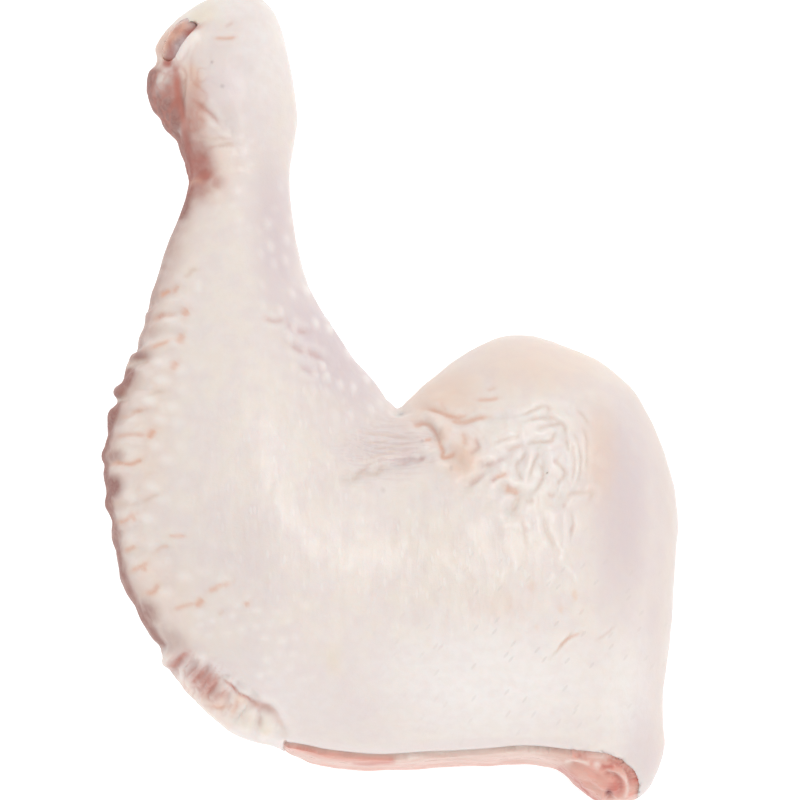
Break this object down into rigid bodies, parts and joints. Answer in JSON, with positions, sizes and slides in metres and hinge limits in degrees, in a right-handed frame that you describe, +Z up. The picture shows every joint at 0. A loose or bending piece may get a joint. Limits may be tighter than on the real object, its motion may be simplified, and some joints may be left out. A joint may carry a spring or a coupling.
{
  "type": "raw chicken leg",
  "caption": "Raw chicken leg, drumstick and thigh in one piece, with pale creased skin round pink flesh, lying skin side up.",
  "frame": {"origin": "on the table under the middle of the leg's box", "axes": "+Y from the cut hip edge to the hock, +Z up from the table, +X from the drumstick to the thigh"},
  "size_m": [0.115, 0.165, 0.0415],
  "materials": {
    "skin": "moist raw poultry skin, cream to lilac with peach creases",
    "flesh": "moist raw meat, pale pink with a red spot at the hip end",
    "gristle": "wet, bluish-grey cartilage"
  },
  "bodies": {
    "root": {"skin": "skin", "flesh": "flesh", "shank_bone": "gristle"}
  },
  "joints": []
}
